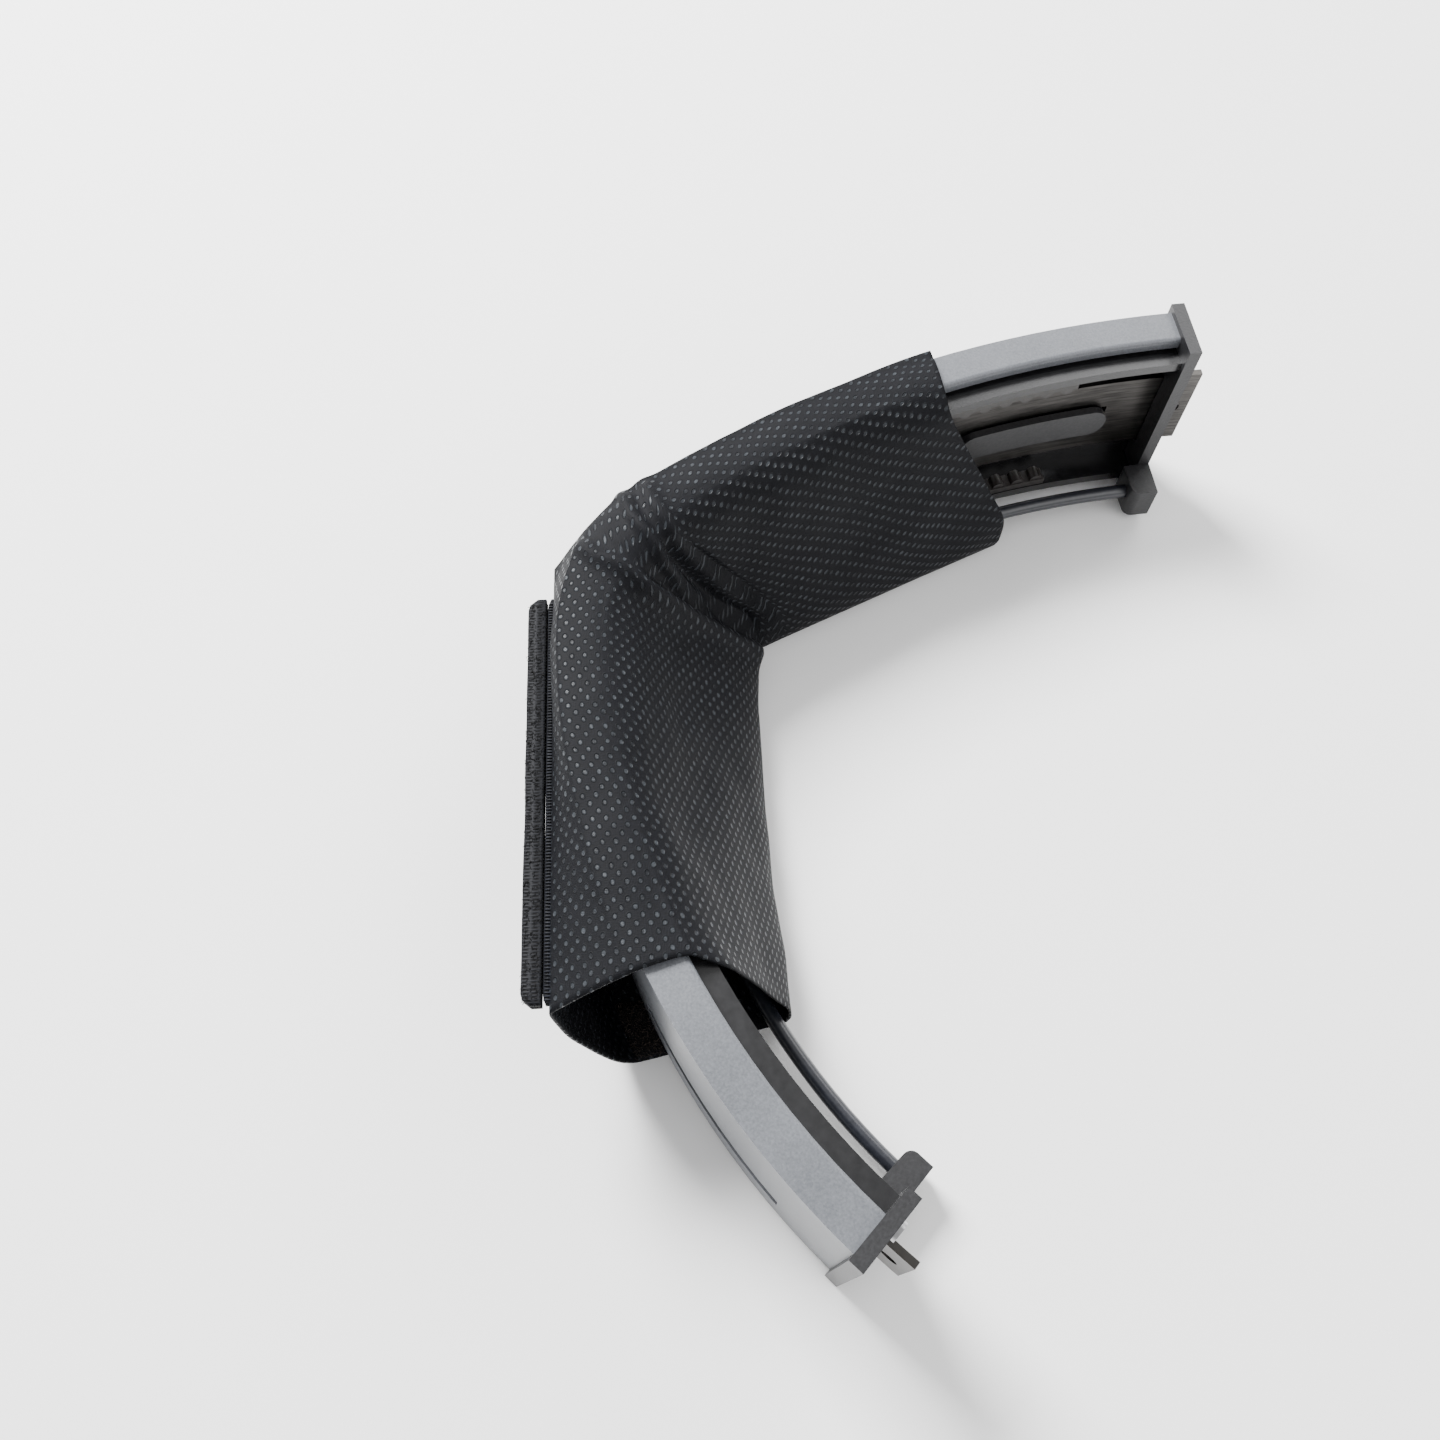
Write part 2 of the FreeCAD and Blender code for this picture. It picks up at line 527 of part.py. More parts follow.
# ---------------------------------------------------------------- cover
def band_point(arc, inset, height=0.0):
    """Point at an arc position: positive on the upper arm and negative on the lower one."""
    crown, bend = dim("crown_radius"), math.radians(dim("bend_angle"))
    side = 1 if arc >= 0 else -1
    radius, turn, centre = crown, abs(arc) / crown, Vector(0, 0, 0)
    if turn > bend:
        radius = dim("upper_arm_radius" if side > 0 else "lower_arm_radius")
        turn = bend + (abs(arc) - crown * bend) / radius
        offset = radius - crown
        centre = Vector(offset * math.cos(bend), -side * offset * math.sin(bend), 0)
    out = Vector(-math.cos(turn), side * math.sin(turn), 0)
    return centre + out * (radius - inset) + Vector(0, 0, height)


def corner(name):
    """One of the cover's corners: the seam's ones have a height, the others lie at the bottom."""
    height = dim(f"{name}_height") if f"{name}_height" in DIMENSIONS else 0.0
    return band_point(dim(f"{name}_arc"), dim(f"{name}_inset"), height)


def between(first, second, share):
    return first + (second - first) * share


def cover_stations():
    """Cross-sections of the tented cover, from the lower mouth round the fold to the upper mouth.

    Each has its arc position, its half, and its share of the way from the fold's corner to the mouth.
    The sections crowd together at the corner, where the cover bends round it."""
    steps, fold = int(dim("cover_steps")), dim("fold_middle")
    stations = []
    for half, side in (("lower", -1), ("upper", 1)):
        mouth = side * dim(f"{half}_mouth")
        for step in range(steps + 1):
            share = step / steps
            stations.append((between(fold, mouth, share), half, share ** dim("fold_crowding")))
    lower, upper = stations[:steps + 1], stations[steps + 2:]
    return lower[::-1] + upper


def seam_ends(half):
    """Ends of the straight part of a half's seam. The upper half's begins past the crown."""
    return corner("seam_bend" if half == "upper" else "seam_fold"), corner(f"seam_{half}")


def seam_point(half, share):
    """Point of the outer seam at a share of the way from the fold to a mouth."""
    start, mouth = seam_ends(half)
    bend = dim("seam_bend_share") if half == "upper" else 0.0
    if share < bend:
        return between(corner("seam_fold"), start, share / bend)
    return between(start, mouth, (share - bend) / (1 - bend))


def cover_ring(arc, half, share, thickness):
    """Six corners of one cross-section, at the outer face or one thickness inside it."""
    inner, outer = between(corner("hem_fold"), corner(f"hem_{half}"), share), seam_point(half, share)
    heel_inset = dim("heel_fold_inset") + share * (dim(f"heel_{half}_inset") - dim("heel_fold_inset"))
    heel = band_point(arc, heel_inset)
    wall, gap = dim("cover_thickness"), dim("cover_clearance")
    top = wall + gap + dim("band_width") + gap + wall - thickness
    edge = gap + wall - thickness
    ridge_out = band_point(arc, -edge, top)
    ridge_in = band_point(arc, dim("liner_depth") + edge, top)
    inward, lift = (inner - heel).normalize(), Vector(0, 0, thickness)
    return [outer + inward * thickness * dim("seam_miter") - lift * dim("seam_drop"), ridge_out, ridge_in,
            inner - inward * (dim("fold_rake") + thickness) + Vector(0, 0, dim("fold_height")),
            inner - inward * thickness * dim("hem_miter") + lift,
            heel + inward * thickness * dim("hem_miter") + lift]


def quad(a, b, c, d):
    """Two triangles, so that a twisted four-sided patch stays closed."""
    return [Part.Face(Part.makePolygon([a, b, c, a])), Part.Face(Part.makePolygon([a, c, d, a]))]


def make_cover():
    """Non-woven sheet wrapped round the crown: a tent-shaped tube with an open mouth on each arm."""
    skins = [[cover_ring(arc, half, share, depth) for arc, half, share in cover_stations()]
             for depth in (0.0, dim("cover_thickness"))]
    faces = []
    for skin in skins:
        for near, far in zip(skin, skin[1:]):
            for k in range(len(near)):
                n = (k + 1) % len(near)
                faces += quad(near[k], near[n], far[n], far[k])
    for end in (0, -1):
        outer, inner = skins[0][end], skins[1][end]
        for k in range(len(outer)):
            n = (k + 1) % len(outer)
            faces += quad(outer[k], outer[n], inner[n], inner[k])
    solid = Part.Solid(Part.Shell(faces))
    if solid.Volume < 0:
        solid.reverse()
    cover = doc.addObject("Part::Feature", "cover_sheet")
    cover.Label = "cover_sheet"
    cover.Shape = solid
    return cover


def make_tape(half, kind):
    """Straight hook or loop strip that stands out from the outer seam of one half of the cover.

    The hook strip lies over the loop strip and stands a little further from the seam."""
    fold, mouth = seam_ends(half)
    along = (mouth - fold).normalize()
    outward = Vector(along.y, -along.x, 0).normalize() * -ARMS[half]["side"]
    drop = dim("tape_thickness") * (1 if kind == "hook" else 2) + (dim("loop_gap") if kind == "loop" else 0)
    near = fold + along * dim("tape_fold_end") + outward * dim(f"{kind}_gap") - Vector(0, 0, drop)
    start = near if half == "upper" else near + outward * dim("tape_width")
    tape = doc.addObject("Part::Box", f"{half}_{kind}_tape")
    tape.Label = f"{half}_{kind}_tape"
    tape.setExpression("Length", cells(f"{(mouth - fold).Length} - tape_fold_end - tape_mouth_end"))
    tape.setExpression("Width", cells("tape_width"))
    tape.setExpression("Height", cells("tape_thickness"))
    heading = Rotation(Vector(0, 0, 1), math.degrees(math.atan2(along.y, along.x)))
    slope = Rotation(Vector(0, 1, 0), -math.degrees(math.asin(along.z)))
    tape.Placement = Placement(start, heading * slope)
    return tape


def make_grip():
    """Loop patch on the floor of the lower mouth that keeps the cover from creeping."""
    mouth_arc = -dim("lower_mouth")
    heel, hem = band_point(mouth_arc, dim("heel_lower_inset")), corner("hem_lower")
    across = (hem - heel).normalize()
    towards_fold = Vector(-across.y, across.x, 0)
    grip = doc.addObject("Part::Box", "mouth_grip_patch")
    grip.Label = "mouth_grip_patch"
    grip.setExpression("Length", cells("grip_length"))
    grip.setExpression("Width", cells("grip_width"))
    grip.setExpression("Height", cells("cover_clearance"))
    turn = math.degrees(math.atan2(across.y, across.x))
    start = heel + across * dim("grip_heel_gap") + towards_fold * dim("grip_mouth_gap")
    grip.Placement = Placement(start + Vector(0, 0, dim("cover_thickness")), Rotation(Vector(0, 0, 1), turn))
    return grip


# ---------------------------------------------------------------- build
parts = [make_shell(), make_leaf(), make_liner(), make_cable(), make_cover(), make_grip()]
for arm in ARMS:
    parts += [make_rack(arm, "top"), make_rack(arm, "bottom"), make_block(arm), make_strip(arm),
              make_detent(arm), make_rivets(arm), make_cap(arm), make_cap_screws(arm), make_clip(arm),
              make_tape(arm, "loop"), make_tape(arm, "hook")]
doc.recompute()

box = FreeCAD.BoundBox()
for part in parts:
    box.add(part.Shape.optimalBoundingBox(False, False))
shift = Vector(-box.Center.x, -box.Center.y, -box.ZMin)
for part in parts:
    part.Placement = Placement(shift, Rotation()) * part.Placement
doc.recompute()
print("origin shift", [round(v, 4) for v in shift])

for item in doc.Objects:
    if "Invalid" in item.State or "Error" in item.State:
        raise RuntimeError(f"{item.Label} is {item.State}")
os.makedirs("parts", exist_ok=True)
for part in parts:
    shape = part.Shape
    if shape.isNull() or not shape.isValid():
        raise RuntimeError(f"{part.Label} has no valid shape")
    print(part.Label, "solids", len(shape.Solids), "volume", round(shape.Volume, 1))
    shape.exportStep(f"parts/{part.Label}.step")
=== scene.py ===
# %% [markdown]
# # A wrap-around cover on a headset's headband
#
# A headband lies on its side. A small sleeve of black non-woven cloth is wrapped round its crown and
# closed along the outside by a hook-and-loop flange. The band, its sliders and its cable come from the
# CAD model. This lesson gives them their finishes, and makes the cloth, which CAD can only hold as a
# plain faceted tube.

# %% Load the frame
import math

import bmesh
import bpy
import numpy as np
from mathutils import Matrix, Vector, noise
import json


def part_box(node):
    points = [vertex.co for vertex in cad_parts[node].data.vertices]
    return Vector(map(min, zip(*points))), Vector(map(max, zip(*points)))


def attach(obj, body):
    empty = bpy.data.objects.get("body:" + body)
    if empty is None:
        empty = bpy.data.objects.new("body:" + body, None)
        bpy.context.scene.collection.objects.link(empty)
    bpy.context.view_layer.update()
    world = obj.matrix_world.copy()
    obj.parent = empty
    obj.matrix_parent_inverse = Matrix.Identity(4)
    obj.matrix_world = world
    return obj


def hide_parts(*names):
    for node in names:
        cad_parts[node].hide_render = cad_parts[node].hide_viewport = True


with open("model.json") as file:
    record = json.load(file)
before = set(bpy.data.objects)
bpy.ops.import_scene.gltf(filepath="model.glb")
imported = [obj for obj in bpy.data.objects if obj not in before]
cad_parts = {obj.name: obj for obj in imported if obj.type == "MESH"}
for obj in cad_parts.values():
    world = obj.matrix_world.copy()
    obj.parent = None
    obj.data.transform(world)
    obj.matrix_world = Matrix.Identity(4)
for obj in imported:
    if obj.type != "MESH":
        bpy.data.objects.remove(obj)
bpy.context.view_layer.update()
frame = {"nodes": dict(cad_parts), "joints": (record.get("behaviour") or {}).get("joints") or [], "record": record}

MM = 0.001

# %% [markdown]
# ## Where the camera stands
#
# The camera comes first, because every later choice is judged through it. It looks down on the band
# from about sixty degrees and a little to the right of the lower arm. A camera in Blender looks along
# its own -Z, so it is turned until -Z points from its place towards the object.

# %% Camera
CAMERA_PLACE = Vector((23.52, -85.26, 176.44)) * MM
CAMERA_AZIMUTH, CAMERA_ELEVATION = math.radians(25.1), math.radians(63.6)


def backwards(azimuth, elevation):
    """Direction from what a camera looks at back to the camera."""
    level = math.cos(elevation)
    return Vector((math.sin(azimuth) * level, -math.cos(azimuth) * level, math.sin(elevation)))


camera_data = bpy.data.cameras.new("camera")
camera_data.lens, camera_data.sensor_width = 31.25, 36.0
camera_data.clip_start, camera_data.clip_end = 0.005, 10.0
camera = bpy.data.objects.new("camera", camera_data)
bpy.context.scene.collection.objects.link(camera)
camera.location = CAMERA_PLACE
camera.rotation_euler = (-backwards(CAMERA_AZIMUTH, CAMERA_ELEVATION)).to_track_quat("-Z", "Y").to_euler()
bpy.context.scene.camera = camera
print("camera at", [round(v, 4) for v in camera.location])

# %% [markdown]
# ## Shader maths as sums
#
# A procedural material is a small calculation. Wiring Math nodes by hand hides it, so one class wraps a
# socket and lets Python's operators add the nodes: `1 - mask` becomes a Subtract node. A second class
# holds one finish: its Principled shader, and a method that adds any other node. Numbers that are the
# same all over a surface are set on the shader itself.

# %% Shader maths


class Wire:
    """A shader socket that can be used in a Python expression."""

    def __init__(self, finish, socket):
        self.finish, self.socket = finish, socket

    def maths(self, operation, *others, clamp=False):
        settings = {"operation": operation, "use_clamp": clamp}
        return self.finish.node("ShaderNodeMath", settings, dict(enumerate((self, *others))))

    def __add__(self, other): return self.maths("ADD", other)
    def __mul__(self, other): return self.maths("MULTIPLY", other)
    def __sub__(self, other): return self.maths("SUBTRACT", other)
    def __truediv__(self, other): return self.maths("DIVIDE", other)
    def __lt__(self, other): return self.maths("LESS_THAN", other)
    def __rsub__(self, other): return self * -1.0 + other
    __radd__, __rmul__ = __add__, __mul__


class Finish:
    """One material: constants on its shader, and nodes for what changes over the surface."""

    def __init__(self, name, **constants):
        self.material = bpy.data.materials.new(name)
        self.material.use_nodes = True
        self.shader = self.material.node_tree.nodes["Principled BSDF"]
        for socket, value in constants.items():
            self.shader.inputs[socket.replace("_", " ")].default_value = value

    def connect(self, node, socket, value):
        target = node.inputs[socket]
        if isinstance(value, Wire):
            self.material.node_tree.links.new(value.socket, target)
        else:
            target.default_value = value

    def node(self, kind, settings, sockets, out=0):
        node = self.material.node_tree.nodes.new(kind)
        for name, value in settings.items():
            setattr(node, name, value)
        for socket, value in sockets.items():
            self.connect(node, socket, value)
        return Wire(self, node.outputs[out])

    def vector(self, operation, *sockets):
        return self.node("ShaderNodeVectorMath", {"operation": operation}, dict(enumerate(sockets)))

    def ramp(self, value, *stops):
        """A colour for each stop's place, blended between them."""
        ramp = self.node("ShaderNodeValToRGB", {}, {0: value})
        band = ramp.socket.node.color_ramp
        while len(band.elements) < len(stops):
            band.elements.new(0.5)
        for element, (place, colour) in zip(band.elements, stops):
            element.position, element.color = place, (*colour, 1.0)
        return ramp

    def between(self, value, low, high):
        """0 below low, 1 above high, and a smooth step between them."""
        return self.node("ShaderNodeMapRange", {"interpolation_type": "SMOOTHSTEP"},
                         {"Value": value, "From Min": low, "From Max": high})

    def place(self, scale=(1, 1, 1), source="Object"):
        where = self.node("ShaderNodeTexCoord", {}, {}, source)
        return self.node("ShaderNodeMapping", {}, {"Vector": where, "Scale": scale})

    def clouds(self, where, scale, detail=3.0, roughness=0.5):
        sockets = {"Vector": where, "Scale": scale, "Detail": detail, "Roughness": roughness}
        return self.node("ShaderNodeTexNoise", {}, sockets)

    def set(self, socket, value):
        self.connect(self.shader, socket, value)

    def bump(self, height, distance, strength=1.0):
        sockets = {"Height": height, "Distance": distance, "Strength": strength}
        self.set("Normal", self.node("ShaderNodeBump", {}, sockets))


def moulded(name, dark, light, roughness, grain, depth, **constants):
    """Moulded plastic: a grain of that many spots per metre, and slow clouds of colour and gloss."""
    finish = Finish(name, **constants)
    where = finish.place()
    spots, slow = finish.clouds(where, grain, 2.0), finish.clouds(where, grain / 40, 4.0)
    finish.set("Base Color", finish.ramp(spots * 0.6 + slow * 0.4, (0.32, dark), (0.68, light)))
    finish.set("Roughness", slow * 0.12 + spots * 0.06 + (roughness - 0.09))
    finish.bump(spots, depth)
    return finish.material


def brushed(name, dark, light, roughness, lines=2600.0, **constants):
    """Metal brushed along the band: streaks that are long in X and Y and fine in Z."""
    finish = Finish(name, Metallic=1.0, **constants)
    streaks = finish.clouds(finish.place((0.06, 0.06, 1.0)), lines, 3.0, 0.6)
    smears = finish.clouds(finish.place(), 120.0, 3.0)
    finish.set("Base Color", finish.ramp(streaks * 0.75 + smears * 0.25, (0.3, dark), (0.7, light)))
    finish.set("Roughness", streaks * 0.15 + smears * 0.1 + (roughness - 0.12))
    finish.bump(streaks, 0.00001)
    return finish.material


# %% [markdown]
# ## Finishes of the band
#
# The shell is satin grey with a fine grain. The liner inside it is glossy black, the racks are brownish
# grey, and the sliders are dark brushed steel with a brighter edge where light catches them. One
# dictionary says which CAD node wears which finish. The nodes keep their meshes: only their material
# slots change.

# %% Finishes of the CAD pieces
FINISHES = {
    "shell_grey": moulded("shell_grey", (0.075, 0.08, 0.09), (0.125, 0.132, 0.146), 0.4, 3600.0, 0.00002,
                          Specular_IOR_Level=0.55),
    "liner_black": moulded("liner_black", (0.003, 0.003, 0.0035), (0.009, 0.009, 0.01), 0.24, 900.0, 0.00001,
                           Specular_IOR_Level=0.6),
    "rack_brown": moulded("rack_brown", (0.01, 0.0085, 0.008), (0.026, 0.022, 0.02), 0.4, 1800.0, 0.00002),
    "block_grey": moulded("block_grey", (0.01, 0.01, 0.011), (0.024, 0.024, 0.026), 0.36, 2200.0, 0.00002),
    "cap_black": moulded("cap_black", (0.006, 0.006, 0.007), (0.016, 0.016, 0.018), 0.45, 2600.0, 0.00003),
    "cable_black": moulded("cable_black", (0.008, 0.009, 0.013), (0.018, 0.02, 0.027), 0.3, 1500.0, 0.00001,
                           Coat_Weight=0.25, Coat_Roughness=0.25),
    "strip_steel": brushed("strip_steel", (0.03, 0.028, 0.027), (0.1, 0.095, 0.09), 0.32),
    "spring_steel": brushed("spring_steel", (0.32, 0.32, 0.33), (0.55, 0.55, 0.56), 0.3),
    "fastener_steel": brushed("fastener_steel", (0.3, 0.3, 0.31), (0.5, 0.5, 0.51), 0.34),
}
SLOT_OF = {row["node"]: row["material_slot"] for row in frame["record"]["subparts"]}
for node_name, node in frame["nodes"].items():
    if SLOT_OF[node_name] in FINISHES:
        node.data.materials.clear()
        node.data.materials.append(FINISHES[SLOT_OF[node_name]])
print("finished", sum(slot in FINISHES for slot in SLOT_OF.values()), "of", len(SLOT_OF), "CAD nodes")

# %% [markdown]
# ## The shape of the cloth
#
# The cover is one sheet of spun-bonded cloth folded round the band: from the outer seam, which stands
# almost as high as the band, it crosses the band's top, drops down the inside, comes back along the
# table and climbs to the seam again. The sheet is pulled tight over hard edges, so its place is known
# almost everywhere. It is lofted: a cross-section of seven corners moves along the band, and the
# creases at the fold are pressed in afterwards.
#
# Positions on the band are an arc (distance along its outer face from the crown) and an inset.

# %% Places on the band
CROWN_RADIUS, BEND, UPPER_RADIUS, LOWER_RADIUS = 27.0, math.radians(27.0), 162.0, 111.0
shell_low, shell_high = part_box("arch_shell")
BAND_TOP, COVER_TOP = shell_high[2] / MM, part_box("cover_sheet")[1][2] / MM
CROWN_CENTRE = np.array([shell_low[0] / MM + CROWN_RADIUS, 0.0, 0.0])
CROWN_CENTRE[1] = frame["joints"][0]["pos_m"][1] / MM + (UPPER_RADIUS - CROWN_RADIUS) * math.sin(BEND)


def band_point(arc, inset, height=0.0):
    """Point in millimetres at an arc position, positive on the upper arm, and an inset."""
    side = 1 if arc >= 0 else -1
    radius, turn, centre = CROWN_RADIUS, abs(arc) / CROWN_RADIUS, CROWN_CENTRE
    if turn > BEND:
        radius = UPPER_RADIUS if side > 0 else LOWER_RADIUS
        turn = BEND + (abs(arc) - CROWN_RADIUS * BEND) / radius
        offset = radius - CROWN_RADIUS
        centre = CROWN_CENTRE + (offset * math.cos(BEND), -side * offset * math.sin(BEND), 0)
    out = np.array([-math.cos(turn), side * math.sin(turn), 0])
    return centre + out * (radius - inset) + (0, 0, height)


SEAM = {"fold": band_point(-2.2, -4.3, 28.0), "bend": band_point(12.0, -3.6, 21.0),
        -1: band_point(-60.4, -11.9, 29.5), 1: band_point(62.0, -5.6, 9.0)}
HEM_MOUTH = (-70.21, 17.37)
HEM = {"fold": band_point(22.36, 16.61), -1: band_point(*HEM_MOUTH), 1: band_point(72.72, 15.84)}
SEAM_START = {-1: SEAM["fold"], 1: SEAM["bend"]}
print("seam and hem corners:", {k: v.round(1).tolist() for k, v in {**SEAM, "hem": HEM["fold"]}.items()})

# %% [markdown]
# ### Cross-sections
#
# `along` runs from -1 at the lower mouth through 0 at the fold to 1 at the upper mouth. `around` counts
# corners: 0 at the seam, 1 and 2 over the band, 3 below its inner lip, 4 and 5 at the inner edge, 6 at
# the heel where the sheet leaves the table, and 7 back at the seam. The mouths are cut on a slant, so
# each corner ends at its own arc position.

# %% Cross-sections of the cover
FOLD_ARC, CROWDING = 3.0, 1.25
MOUTH_ARC = {-1: (-61.5, -62.4, -65.6), 1: (61.6, 60.4, 60.2)}
HEEL = {-1: (-64.0, -4.8), 1: (61.0, -4.0)}
HEEL_FOLD, BEND_SHARE = -3.0, 0.1
SIDE_STEPS = (22, 8, 6, 28, 8, 24, 26)
ALONG = np.concatenate([np.linspace(-1, -0.28, 60), np.linspace(-0.27, 0.27, 96), np.linspace(0.28, 1, 60)])
AROUND = np.concatenate([k + np.arange(n) / n for k, n in enumerate(SIDE_STEPS)])


def seam_point(side, share):
    """Place on the raised seam; the upper half's drops past the crown before it runs straight."""
    if side > 0 and share < BEND_SHARE:
        return SEAM["fold"] + (SEAM["bend"] - SEAM["fold"]) * share / BEND_SHARE
    run = (share - BEND_SHARE) / (1 - BEND_SHARE) if side > 0 else share
    return SEAM_START[side] + (SEAM[side] - SEAM_START[side]) * run


def section(along):
    """Seven corners of the cross-section at one place along the tube."""
    side, far = (1 if along >= 0 else -1), abs(along)
    share = far ** CROWDING
    seam = seam_point(side, share)
    hem = HEM["fold"] + (HEM[side] - HEM["fold"]) * share
    level = (hem - seam) * (1, 1, 0)
    inward = level / np.linalg.norm(level)
    hem = hem - inward * 1.0 * math.sin(math.pi * far) * (side < 0)
    arcs = [FOLD_ARC + (mouth - FOLD_ARC) * far for mouth in MOUTH_ARC[side]]
    heel_arc, heel_inset = HEEL[side]
    heel = band_point(FOLD_ARC + (heel_arc - FOLD_ARC) * far, HEEL_FOLD + (heel_inset - HEEL_FOLD) * share)
    return [seam, band_point(arcs[0], -0.4, COVER_TOP), band_point(arcs[1], 5.8, COVER_TOP + 0.1),
            band_point(arcs[2], 9.3, BAND_TOP - 1.6), hem - inward * 0.6 + (0, 0, 8.0), hem, heel]


def resample(corners):
    """Points round one closed section, with the set number of steps on each side."""
    points = []
    for first, second, steps in zip(corners, corners[1:] + corners[:1], SIDE_STEPS):
        points += [first + (second - first) * step / steps for step in range(steps)]
    return np.array(points)


grid = np.array([resample(section(along)) for along in ALONG])
print("cover grid", grid.shape)

# %% [markdown]
# ### Softening the corners
#
# Cloth has no sharp corners. Averaging each point with its neighbours round the section rounds them all
# by about the sheet's own stiffness. The seam keeps its place, because the two layers are joined there.
# The back layer, which nothing holds, is then bowed outwards, most at the lower mouth.

# %% Round the corners and bow the flanks
seam_hold = np.clip(np.minimum(AROUND, 7 - AROUND) * 12, 0, 1)[None, :, None]
for _ in range(7):
    softened = (np.roll(grid, 1, axis=1) + np.roll(grid, -1, axis=1)) / 2
    grid += (softened - grid) * 0.5 * seam_hold


def unit(vectors):
    return vectors / np.maximum(np.linalg.norm(vectors, axis=-1, keepdims=True), 1e-9)


def outward(points):
    """Normal of the tube's surface at every grid point."""
    lengthwise = np.gradient(points, axis=0)
    across = (np.roll(points, -1, axis=1) - np.roll(points, 1, axis=1)) / 2
    return unit(np.cross(across, lengthwise))


normals = outward(grid)
middle = grid.mean(axis=1, keepdims=True)
if ((grid - middle) * normals).sum() < 0:
    normals = -normals
far = np.abs(ALONG)[:, None]
front = np.sin(np.pi * np.clip(AROUND, 0, 1))[None, :]
inner_flank = np.sin(np.pi * np.clip((AROUND - 3) / 1.2, 0, 1))[None, :]
back_layer = np.sin(np.pi * np.clip(AROUND - 6, 0, 1))[None, :] ** 0.7
lower_half = ALONG[:, None] < 0
bow = front * 0.3 - inner_flank * 0.5 * (1 - far) + back_layer * (0.5 + 1.3 * far ** 2 * lower_half)
grid = grid + normals * bow[..., None]
print("largest bow in mm:", round(float(bow.max()), 2))

# %% [markdown]
# ### Creases at the fold
#
# Where the tube bends round the crown, the inner side has too much cloth. It gathers in a wedge between
# two creases that meet at the inner corner, and the lower panel's edge lies over the upper one. Each
# crease is a line of places (around, along). The distance from it drives a profile: a raised lip on
# one side and a sharp fall with a slow recovery on the other. Over the band there is no room below,
# so there the lips only rise.

# %% Press the creases
LOWER_CREASE = ((1.0, -0.04), (1.5, -0.055), (2.0, -0.05), (3.0, -0.06), (3.5, -0.075), (3.8, -0.09),
                (5.0, -0.07))
UPPER_CREASE = ((1.0, 0.13), (1.6, 0.10), (2.0, 0.09), (3.0, 0.07), (3.25, 0.045), (3.8, -0.03),
                (5.0, -0.04))
metres_along = np.linalg.norm(np.gradient(grid, axis=0), axis=2) / np.gradient(ALONG)[:, None]


def offset_from(crease):
    """Distance along the tube from a crease in mm, negative on its lower-arm side."""
    places, along = zip(*crease)
    return (ALONG[:, None] - np.interp(AROUND, places, along)[None, :]) * np.maximum(metres_along, 20)


def hump(distance, centre, width):
    return np.exp(-((distance - centre) / width) ** 2)


def fades(*knots):
    """Strength of a crease round the section, from (around, strength) pairs."""
    places, strengths = zip(*knots)
    return np.interp(AROUND, places, strengths)[None, :]


below, above = offset_from(LOWER_CREASE), offset_from(UPPER_CREASE)
fall = np.where(below > 0, (1 - np.exp(-below / 0.5)) * np.exp(-below / 7.0), 0)
groove = np.where(above > 0, (1 - np.exp(-above / 0.4)) * np.exp(-above / 3.2), 0)
lip_strength = fades((0.7, 0), (1.1, 0.9), (2.0, 1.0), (3.0, 1.5), (4.0, 1.3), (4.8, 0.0))
fall_strength = fades((1.0, 0), (2.6, 0.0), (3.0, 1.0), (3.4, 3.4), (4.1, 3.6), (4.7, 0.6), (5.0, 0))
groove_strength = fades((2.5, 0), (2.9, 1.0), (3.15, 3.0), (3.4, 2.6), (3.8, 0.5), (4.2, 0))
crest_strength = fades((0.5, 0), (1.0, 0.7), (2.0, 1.3), (3.1, 1.3), (3.6, 0.5), (4.2, 0))
pressed = (hump(below, -0.9, 1.6) * lip_strength - fall * fall_strength - groove * groove_strength
           + hump(above, -1.2, 1.2) * crest_strength + hump(above, 2.4, 1.5) * crest_strength * 0.8)
wedge = np.clip(below / 2.0, 0, 1) * np.clip(-above / 2.0, 0, 1)
pressed += wedge * fades((0.6, 0), (1.2, 0.6), (3.0, 0.5), (3.6, 0), (7.0, 0))
grid = grid + normals * pressed[..., None]
print("creases from", round(float(pressed.min()), 2), "to", round(float(pressed.max()), 2), "mm")

# %% [markdown]
# ### Slack
#
# A sheet that has been handled is never quite smooth. Two sizes of slow noise move it a few tenths of a
# millimetre, less on the table and over the band. `mathutils.noise` gives the same numbers each run.
# Last, any point that came too close to the band is moved back out of it.

# %% Slack, and clearance from the band
slack = np.array([[noise.noise(Vector(point / 14.0)) * 0.9 + noise.noise(Vector(point / 5.0)) * 0.28
                   for point in row] for row in grid])
loose = fades((0, 0.1), (0.3, 0.6), (0.8, 0.5), (1.1, 0.35), (2.0, 0.4), (2.6, 0.6), (3.3, 1),
              (4.2, 0.8), (5, 0.1), (6, 0.1), (6.5, 0.8), (7, 0.1))
grid = grid + normals * (slack * loose)[..., None]
SHEET = 0.35
on_table = (AROUND >= 5) & (AROUND <= 6)
grid[:, on_table, 2] = np.clip(grid[:, on_table, 2], 0.0, 0.2)
grid[:, ~on_table, 2] = np.maximum(grid[:, ~on_table, 2], 0.0)
over_band = (AROUND > 0.9) & (AROUND < 2.3)
grid[:, over_band, 2] = np.maximum(grid[:, over_band, 2], BAND_TOP + 0.3 + SHEET)
print("cover height in mm:", round(float(grid[..., 2].max()), 2))

